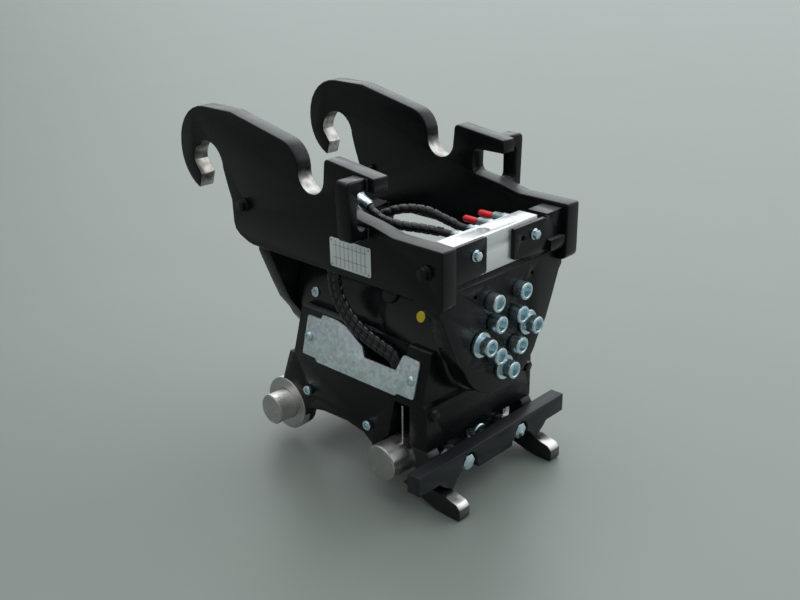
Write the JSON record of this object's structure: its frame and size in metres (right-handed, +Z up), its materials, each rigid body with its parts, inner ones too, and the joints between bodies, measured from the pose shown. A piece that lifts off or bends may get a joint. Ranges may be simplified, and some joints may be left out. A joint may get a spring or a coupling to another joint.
{
  "type": "tilting quick coupler",
  "caption": "Tilting quick coupler for a compact excavator: hooked upper frame turning on a helical tilt actuator, over a lower frame with a fixed axle, sliding lock pins and claws",
  "frame": {"origin": "On the ground plane under the middle of the coupler's overall box; both tool pins' axes are 56 mm above it", "axes": "+X from the hooks to the front end plate and claws, +Y from the left plate to the right plate, +Z up"},
  "size_m": [0.504, 0.3394, 0.486],
  "materials": {
    "black_paint": "satin black paint",
    "bar_black": "worn grey-black finish",
    "bare_steel": "machined, bare",
    "zinc": "bluish zinc plate",
    "galvanised": "galvanised sheet",
    "aluminium": "clear anodised block",
    "cap_red": "red plastic cap",
    "hose_black": "black hose in a glossy spiral wrap",
    "label_white": "blank pale plate"
  },
  "bodies": {
    "lower_frame": {"lower_body": "black_paint", "actuator_housing": "black_paint", "housing_plug": "zinc", "fixed_axle": "bare_steel", "axle_collar_left": "bare_steel", "axle_collar_right": "bare_steel", "claw_left": "bar_black", "claw_right": "bar_black", "crossbar": "bar_black", "crossbar_bolt_left": "zinc", "crossbar_bolt_right": "zinc", "nose_plug": "zinc", "cover_plate": "galvanised", "cover_bolt_rear": "zinc", "cover_bolt_front": "zinc", "ledge_bolt_left": "black_paint", "ledge_bolt_right": "black_paint", "side_screw_left_rear": "zinc", "side_screw_left_front": "zinc", "side_screw_right_rear": "zinc", "side_screw_right_front": "zinc"},
    "upper_frame": {"side_plate_left": "black_paint", "side_plate_right": "black_paint", "guard_strap_left": "black_paint", "guard_strap_right": "black_paint", "end_plate_front": "black_paint", "end_plate_rear": "black_paint", "tilt_shaft": "bare_steel", "shaft_screw_1": "zinc", "shaft_screw_2": "zinc", "shaft_screw_3": "zinc", "shaft_screw_4": "zinc", "shaft_screw_5": "zinc", "shaft_screw_6": "zinc", "shaft_screw_7": "zinc", "shaft_screw_8": "zinc", "shaft_screw_9": "zinc", "plate_bolt_rear_left": "black_paint", "plate_bolt_rear_right": "black_paint", "plate_bolt_front_left": "black_paint", "plate_bolt_front_right": "black_paint", "name_plate": "label_white", "manifold": "aluminium", "port_fitting_left": "zinc", "port_fitting_right": "zinc", "port_cap_left": "cap_red", "port_cap_right": "cap_red", "manifold_bracket_left": "black_paint", "manifold_bracket_right": "black_paint", "bracket_screw_left": "zinc", "bracket_screw_right": "zinc", "hose_end_feed": "zinc", "hose_end_supply": "zinc", "hose_ferrule": "zinc", "hose_feed": "hose_black", "hose_supply": "hose_black"},
    "piston": {"piston_sleeve": "bare_steel"},
    "lock_left": {"lock_pin_left": "bare_steel"},
    "lock_right": {"lock_pin_right": "bare_steel"}
  },
  "joints": [
    {"name": "tilt", "type": "hinge", "parent": "lower_frame", "child": "upper_frame", "pos_m": [0, 0, 0.226], "axis": [1, 0, 0], "range_deg": [-50, 50], "deforming": ["hose_feed"]},
    {"name": "piston_slide", "type": "slide", "parent": "lower_frame", "child": "piston", "axis": [1, 0, 0], "range_m": [-0.025, 0.025]},
    {"name": "lock_slide_left", "type": "slide", "parent": "lower_frame", "child": "lock_left", "axis": [0, 1, 0], "range_m": [0, 0.03]},
    {"name": "lock_slide_right", "type": "slide", "parent": "lower_frame", "child": "lock_right", "axis": [0, -1, 0], "range_m": [0, 0.03]}
  ],
  "couplings": [
    {"joint": "piston_slide", "follows": "tilt", "m_per_rad": 0.025465},
    {"joint": "lock_slide_right", "follows": "lock_slide_left", "ratio": 1}
  ]
}
